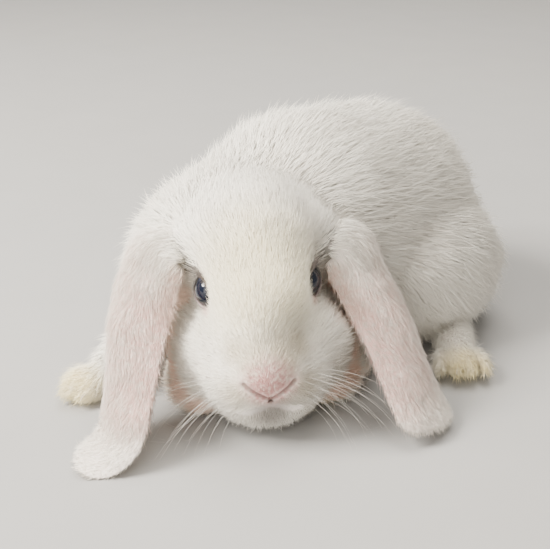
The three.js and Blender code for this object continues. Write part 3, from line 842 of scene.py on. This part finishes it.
def grow(name, p, out, lie, length, width, depth, ear_part, gather, spread, softness, slot):
    """A coat piece: one closed pointed tuft with three sides at each root. Tufts shade partly as
    the skin under them faces, the more so the greater their softness, as fine hair does."""
    n = len(p)
    lie = unit(lie - out * (lie * out).sum(1, keepdims=True))
    swing = spread * (0.6 * wander(p, 14, 11) + 0.5 * wander(p, 5, 13)) + chance.normal(0, 0.16, n)
    side = np.cross(out, lie)
    lie = np.cos(swing)[:, None] * lie + np.sin(swing)[:, None] * side
    side = np.cross(out, lie)
    length = length * np.exp(chance.normal(0, 0.13, n)) * (1 + 0.15 * wander(p, 9, 17))
    rise = np.arcsin(np.clip(depth / (0.9 * length), 0.06, 0.8)) * (1 + 0.15 * wander(p, 7, 19))
    stray = chance.uniform(0, 1, n) < 0.1
    length = np.where(stray, 1.35, 1) * length
    rise = np.where(stray, 1.3, 1) * rise
    spine = [p - SUNK * out]
    for lift in (rise * 1.3 + 0.05, rise * 0.7):
        way = np.cos(lift)[:, None] * lie + np.sin(lift)[:, None] * out
        spine.append(spine[-1] + (length / 2)[:, None] * way)
    base, knee, tips = spine

    # The tips of neighbours draw together into locks.
    leaders = chance.choice(n, max(n // 8, 1), replace=False)
    tree = kdtree.KDTree(len(leaders))
    for number, leader in enumerate(leaders):
        tree.insert(p[leader], number)
    tree.balance()
    nearest = leaders[[tree.find(root)[1] for root in p]]
    pull = gather * (tips[nearest] - tips + 0.35 * (p - p[nearest]))
    bend = chance.normal(0, 0.1, n)[:, None] * length[:, None] * side

    thin = chance.uniform(0.75, 1.25, n) * width * np.where(stray, 0.6, 1)
    blocks = []
    for middle, half in ((base, ROOT_HALF), (knee + 0.25 * (pull + bend), KNEE_HALF)):
        for turn in (90, 210, 330):
            c, s = math.cos(math.radians(turn)), math.sin(math.radians(turn))
            blocks.append(middle + (thin * half)[:, None] * (c * side + 0.5 * s * out))
    blocks.append(tips + pull + bend)
    points = np.stack(blocks, 1)
    for middle in eye_middles:
        away = points - middle
        reach = np.linalg.norm(away, axis=2, keepdims=True)
        off_eye = middle + away / reach * (EYE_RADIUS + 0.25)
        points = np.where(reach < EYE_RADIUS + 0.25, off_eye, points)
    points[..., 2] = np.maximum(points[..., 2], LOWEST)
    points = points.reshape(-1, 3)

    faces = (np.array(tuft_faces)[None] + CORNERS * np.arange(n)[:, None, None]).reshape(-1, 3)
    piece = mesh_object(name, points, faces, coat_material)
    own, _ = outward(points, faces)
    soft = unit(own + softness * np.repeat(out, CORNERS, axis=0))
    piece.data.normals_split_custom_set_from_vertices(soft)
    spots = unwrapped(p, out)[:, None] + tuft_patch
    unwrap = piece.data.uv_layers.new(name="OFBake")
    unwrap.data.foreach_set("uv", spots.astype(np.float32).ravel())
    tones = np.clip(0.6 + 0.15 * wander(p, 10, 23) + chance.normal(0, 0.2, n), 0, 1)
    keep(piece, "up_tuft", np.tile([0, 0, 0, 0.5, 0.5, 0.5, 1], n))
    keep(piece, "tone", np.repeat(tones, CORNERS))
    keep(piece, "ear", np.repeat(ear_part, CORNERS))
    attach(piece, "root")


# Roots are dealt over the skin by area, so many to the square millimetre.
wanted = skin_areas * coat_rows[skin_triangles, 3].min(1)
THIN_OUT = 1.0
count = int(wanted.sum() * THIN_OUT)
dealt = (np.arange(count) + chance.uniform(0, 1, count)) / count * wanted.sum()
chosen = np.searchsorted(np.cumsum(wanted), dealt).clip(0, len(wanted) - 1)
share = chance.uniform(0, 1, (count, 2))
share = np.where(share.sum(1, keepdims=True) > 1, 1 - share, share)
share = np.concatenate([share, 1 - share.sum(1, keepdims=True)], 1)
corners = skin_triangles[chosen]


def at_roots(values):
    return (values[corners] * share[..., None]).sum(1)


roots, root_out = at_roots(skin_points), unit(at_roots(out_of_skin))
root_lie, root_rows = at_roots(coat_lies), at_roots(coat_rows)
root_part = part_of[corners[:, 0]]
depth, length, width, _ = root_rows.T
root_ear = at_roots(ear_share[:, None])[:, 0]
from_brow = (roots - BROW) @ HEAD_AXES
head_at = np.concatenate([head_share, np.zeros(len(skin_points) - len(head_share))])
root_head = at_roots(head_at[:, None])[:, 0] > 0.5

regions = {"coat_ear_left": root_part == 1, "coat_ear_right": root_part == 2}
body = root_part == 0
on_nose = body & (np.linalg.norm(roots - nose_spot, axis=1) < 7)
regions["coat_nose"] = on_nose
face = body & root_head & ~on_nose
regions["coat_face_left"] = face & (from_brow[:, 1] < 2) & (from_brow[:, 0] > 0)
regions["coat_face_right"] = face & (from_brow[:, 1] < 2) & (from_brow[:, 0] <= 0)
regions["coat_crown"] = face & (from_brow[:, 1] >= 2) & (from_brow[:, 2] > -8)
regions["coat_throat"] = face & (from_brow[:, 1] >= 2) & (from_brow[:, 2] <= -8)
paws = body & ~root_head & (length < 6.2)
regions["coat_feet"] = paws
rest = body & ~root_head & ~paws
x, y, _ = roots.T
regions["coat_chest"] = rest & (y < -45)
for band, front, back, middle in (
    ("shoulders", -45, -12, -3), ("flank", -12, 22, 0), ("rump", 22, 200, 2),
):
    here = rest & (y >= front) & (y < back)
    regions[f"coat_{band}_left"] = here & (x > middle)
    regions[f"coat_{band}_right"] = here & (x <= middle)

# How the tips gather, how the tufts spread, and how softly they shade.
WAYS = {
    "ear": (0.28, 0.5, 0.8),
    "nose": (0.1, 0.2, 0.3),
    "short": (0.1, 0.2, 0.8),
    "long": (0.28, 0.3, 1.6),
}
for name, here in regions.items():
    kind = name.split("_")[1]
    if kind not in WAYS:
        kind = "long" if length[here].mean() > 6 else "short"
    grow(name, roots[here], root_out[here], root_lie[here], length[here], width[here], depth[here],
         root_ear[here], *WAYS[kind], "nose" if kind == "nose" else "coat")

# ---- Eyes ----------------------------------------------------------
# Wet balls with a slightly bulging front: a near-black round pupil in a dark slate-blue iris. Each
# one sits in its socket behind the lids.

EYE_RINGS, EYE_SIDES = 48, 64
CORNEA = 0.35  # how far the front bulges

for name, (middle, aim, along, across, _) in eyes.items():
    polar = np.linspace(0, np.pi, EYE_RINGS + 1)[1:-1]
    round_it = np.arange(EYE_SIDES) * 2 * np.pi / EYE_SIDES
    radius = (EYE_RADIUS + CORNEA * np.exp(-((polar / 0.62) ** 4)))[:, None, None]
    c, s = np.cos(round_it)[None, :, None], np.sin(round_it)[None, :, None]
    ball = middle + radius * (np.cos(polar)[:, None, None] * aim
                              + np.sin(polar)[:, None, None] * (c * along + s * across))
    ends = np.array([middle + (EYE_RADIUS + CORNEA) * aim, middle - EYE_RADIUS * aim])
    ball = np.concatenate([ball.reshape(-1, 3), ends])
    eye_material, place = place_in(f"wet_eye_{name}")
    way = place.node("VectorMath", {"operation": "SUBTRACT"}, {0: place, 1: tuple(MM * middle)})
    way = place.node("VectorMath", {"operation": "NORMALIZE"}, {0: way})
    off_axis = place.node("VectorMath", {"operation": "DOT_PRODUCT"}, {0: way, 1: tuple(aim)}, "Value")
    fibres = smooth_mask(noise(place, 1500.0, 3.0), 0.35, 0.7)
    colour = mixed(fibres, (0.006, 0.01, 0.026, 1), (0.03, 0.045, 0.085, 1))
    pupil, rim = smooth_mask(off_axis, 0.74, 0.8), smooth_mask(off_axis, 0.62, 0.5)
    colour = mixed(pupil, colour, (0.006, 0.009, 0.02, 1))
    colour = mixed(rim, colour, (0.03, 0.04, 0.07, 1))
    colour = mixed(smooth_mask(off_axis, 0.36, 0.22), colour, (0.09, 0.085, 0.1, 1))
    dressed(place, Base_Color=colour, Roughness=0.12, Coat_Weight=0.5, Coat_Roughness=0.02,
            Coat_IOR=1.4, Specular_IOR_Level=0.3)
    triangles = ring_triangles(EYE_RINGS - 1, EYE_SIDES)[:, ::-1]
    eye_piece = mesh_object(f"eyeball_{name}", ball, triangles, eye_material)
    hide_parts(f"eye_{name}")
    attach(eye_piece, "root")

# ---- Whiskers, lashes and claws ------------------------------------
# Stiff white whiskers in rows on the pads of the upper lip, dark fine lashes over the eyes, and
# short pale claws in the toes. Each one is a bent, tapering rod grown from the skin.

growth = bpy.data.node_groups.new("tapered growth", "GeometryNodeTree")
for label, kind in {
    "Geometry": "Geometry", "Length": "Float", "Thickness": "Float", "Bend": "Float",
    "Blunt": "Float", "Sides": "Int", "Segments": "Int", "Seed": "Int", "Material": "Material",
}.items():
    growth.interface.new_socket(label, in_out="INPUT", socket_type="NodeSocket" + kind)
growth.interface.new_socket("Geometry", in_out="OUTPUT", socket_type="NodeSocketGeometry")


def growth_node(kind, settings={}, **links):
    """A node of the growing tree: its settings, then a value or a link for each socket."""
    made = growth.nodes.new(kind)
    for label, value in settings.items():
        setattr(made, label, value)
    for label, value in links.items():
        socket = made.inputs[int(label[1:]) if label[1:].isdigit() else label.replace("_", " ")]
        if isinstance(value, bpy.types.NodeSocket):
            growth.links.new(value, socket)
        else:
            socket.default_value = value
    return made.outputs


def maths(operation, a, b):
    return growth_node("ShaderNodeMath", {"operation": operation}, _0=a, _1=b)[0]


def kept_at_root(label, kind):
    return growth_node("GeometryNodeInputNamedAttribute", {"data_type": kind}, Name=label)[0]


# A rod that bends towards X as it rises and tapers, one at each point.
asked = growth_node("NodeGroupInput")
knee = growth_node("ShaderNodeCombineXYZ", Z=maths("MULTIPLY", asked["Length"], 0.55))[0]
tip = growth_node("ShaderNodeCombineXYZ", X=maths("MULTIPLY", asked["Length"], asked["Bend"]),
                  Z=maths("MULTIPLY", asked["Length"], 0.93))[0]
path = growth_node("GeometryNodeCurveQuadraticBezier", Resolution=asked["Segments"],
                   Start=(0, 0, 0), Middle=knee, End=tip)[0]
up_path = growth_node("GeometryNodeSplineParameter")["Factor"]
blunt = growth_node("ShaderNodeMapRange", Value=up_path, To_Min=1.0, To_Max=asked["Blunt"])[0]
ring = growth_node("GeometryNodeCurvePrimitiveCircle", Resolution=asked["Sides"], Radius=0.5)[0]
rod = growth_node("GeometryNodeCurveToMesh", Curve=path, Profile_Curve=ring, Fill_Caps=True,
                  Scale=maths("MULTIPLY", asked["Thickness"], blunt))[0]

# Its Z goes the way the root aims and its X the way it droops.
aimed = growth_node("FunctionNodeAlignRotationToVector", {"axis": "Z"},
                    Vector=kept_at_root("aim", "FLOAT_VECTOR"))[0]
aimed = growth_node("FunctionNodeAlignRotationToVector", {"axis": "X", "pivot_axis": "Z"},
                    Rotation=aimed, Vector=kept_at_root("droop", "FLOAT_VECTOR"))[0]
random_size = growth_node("FunctionNodeRandomValue", {"data_type": "FLOAT"},
                          _2=0.85, _3=1.15, Seed=asked["Seed"])[1]
grown_size = maths("MULTIPLY", kept_at_root("size", "FLOAT"), random_size)
grown = growth_node("GeometryNodeInstanceOnPoints", Points=asked["Geometry"], Instance=rod,
                    Rotation=aimed, Scale=grown_size)[0]
grown = growth_node("GeometryNodeRealizeInstances", Geometry=grown)[0]

# What would pass through the floor lies along it.
grown_at = growth_node("ShaderNodeSeparateXYZ", Vector=growth_node("GeometryNodeInputPosition")[0])
off_floor = growth_node("ShaderNodeCombineXYZ", X=grown_at[0], Y=grown_at[1],
                        Z=maths("MAXIMUM", grown_at[2], 0.0003))[0]
grown = growth_node("GeometryNodeSetPosition", Geometry=grown, Position=off_floor)[0]
grown = growth_node("GeometryNodeSetShadeSmooth", Geometry=grown)[0]
grown = growth_node("GeometryNodeSetMaterial", Geometry=grown, Material=asked["Material"])[0]
growth_node("NodeGroupOutput", Geometry=grown)


def grown_from(name, points, aims, droops, sizes, slot, **values):
    """A plain mesh of rods, one at each point, made by the growing tree."""
    points, aims, droops = (np.asarray(x, float) for x in (points, aims, droops))
    seeds = bpy.data.meshes.new(name + "_roots")
    seeds.from_pydata([tuple(p * MM) for p in points], [], [])
    holder = placed(name + "_roots", seeds)
    for label, rows in (("aim", unit(aims)), ("droop", unit(droops))):
        ways = seeds.attributes.new(label, "FLOAT_VECTOR", "POINT")
        ways.data.foreach_set("vector", rows.astype(np.float32).ravel())
    keep(holder, "size", sizes)
    modifier = holder.modifiers.new("growth", "NODES")
    modifier.node_group = growth
    for item in growth.interface.items_tree:
        if item.in_out == "INPUT" and item.name in values:
            modifier[item.identifier] = values[item.name]
    shown = holder.evaluated_get(bpy.context.evaluated_depsgraph_get())
    piece = placed(name, bpy.data.meshes.new_from_object(shown))
    bpy.data.objects.remove(holder)
    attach(piece, "root")
    return piece


def on_skin(start, way, reach=30):
    """Where rays from inside the flesh come out of the skin."""
    start, way = np.broadcast_arrays(np.asarray(start, float), unit(np.asarray(way, float)))
    near, far = np.zeros(len(way)), np.full(len(way), float(reach))
    for _ in range(18):
        half = (near + far) / 2
        inside = skin_at(start + half[:, None] * way) < 0
        near, far = np.where(inside, half, near), np.where(inside, far, half)
    return start + near[:, None] * way


def plain(name, colour, roughness):
    """A plain dry material with a faint change of tone along its piece."""
    material, place = place_in(name)
    darker = tuple(0.8 * c for c in colour[:3]) + (1,)
    colour = mixed(noise(place, 400.0, 2.0), darker, colour)
    dressed(place, Base_Color=colour, Roughness=roughness)
    return material


whisker_material = plain("white_whisker", (0.88, 0.84, 0.78, 1), 0.5)
lash_material = plain("dark_lash", (0.2, 0.17, 0.16, 1), 0.6)
claw_material = plain("pale_claw", (0.84, 0.74, 0.66, 1), 0.3)

down = np.array([0, 0, -1.0])
starts, aims, droops, sizes = [], [], [], []
for s in SIDES.values():
    for row in range(4):
        for place_in_row in range(4 + row % 2):
            across = 0.3 + 0.18 * place_in_row
            start = from_head([7 * s, -20, -22])
            way = HEAD_AXES @ np.array([s * across, -1 + 0.16 * place_in_row, 0.22 - 0.26 * row])
            starts.append((start, way))
            out = HEAD_AXES @ np.array([s, -0.45 + 0.16 * place_in_row, -0.18 - 0.16 * row])
            aims.append(out + chance.normal(0, 0.12, 3))
            droops.append(down + 0.3 * (HEAD_AXES @ np.array([0, 0.6, 0])))
            sizes.append(0.55 + 0.12 * place_in_row)
points = on_skin(*zip(*starts))
grown_from("whiskers", points, aims, droops, sizes, "whisker", Length=0.044, Thickness=0.00012,
           Bend=0.5, Blunt=0.2, Sides=5, Segments=14, Seed=3, Material=whisker_material)

starts, aims, droops, sizes = [], [], [], []
for middle, aim, along, _, up in eyes.values():
    for _ in range(60):
        turn = math.radians(15 + 85 * chance.uniform())
        starts.append(middle + (EYE_RADIUS + 0.6) * unit(
            -4.8 * math.cos(turn) * along + 4.6 * math.sin(turn) * up + 4.6 * aim))
        aims.append(0.75 * aim + 0.35 * up - 0.6 * along + chance.normal(0, 0.13, 3))
        droops.append(-along - 0.5 * aim)
        sizes.append(0.6 + 0.5 * chance.uniform())
grown_from("lashes", starts, aims, droops, sizes, "whisker", Length=0.0068, Thickness=0.00018,
           Bend=0.3, Blunt=0.15, Sides=4, Segments=5, Seed=5, Material=lash_material)

starts, aims, droops = [], [], []
for masses in feet.values():
    for axes, middle, _, _ in masses[1:]:
        starts.append((middle, axes @ np.array([0, -1, 0.12])))
        aims.append(axes @ np.array([0, -1, 0.05]))
        droops.append(down)
points = on_skin(*zip(*starts)) - unit(np.array(aims)) * 0.8
points[:, 2] = np.maximum(points[:, 2], 2.6)
grown_from("claws", points, aims, droops, np.ones(len(aims)), "claw", Length=0.0034, Thickness=0.001,
           Bend=0.4, Blunt=0.18, Sides=8, Segments=7, Seed=9, Material=claw_material)

# ---- Floor and light -----------------------------------------------
# A plain pale floor; a soft key lamp high at the front right, a wide weak one low in front, one
# over the back, a small one for the glint in the eyes, and the even light of a pale room.

floor = mesh_object("floor", 4000.0 * np.array([(-1, -1, 0), (1, -1, 0), (1, 1, 0), (-1, 1, 0)]),
                    np.array([(0, 1, 2, 3)]))
floor_material, place = place_in("pale_floor")
colour = mixed(noise(place, 30.0, 3.0), (0.37, 0.365, 0.36, 1), (0.4, 0.395, 0.39, 1))
dressed(place, Base_Color=colour, Roughness=0.8)
floor.data.materials.append(floor_material)

rabbit_middle = Vector((0.01, -0.05, 0.04))
for name, at, energy, size in (
    ("key", (-0.52, -0.62, 0.78), 33, 0.45),
    ("fill", (0.1, -0.95, 0.4), 10, 0.8),
    ("top", (-0.1, 0.3, 1.1), 16, 0.8),
    ("glint", (-0.48, -0.66, 0.52), 3, 0.06),
):
    lamp = placed(name, bpy.data.lights.new(name, "AREA"))
    lamp.data.energy, lamp.data.size, lamp.data.color = energy, size, (1, 0.95, 0.86)
    lamp.location = at
    lamp.rotation_mode = "QUATERNION"
    lamp.rotation_quaternion = (rabbit_middle - Vector(at)).to_track_quat("-Z", "Y")
world = bpy.data.worlds.new("soft room")
world.use_nodes = True
background = world.node_tree.nodes["Background"]
background.inputs["Color"].default_value = (1, 0.96, 0.9, 1)
background.inputs["Strength"].default_value = 0.44
bpy.context.scene.world = world
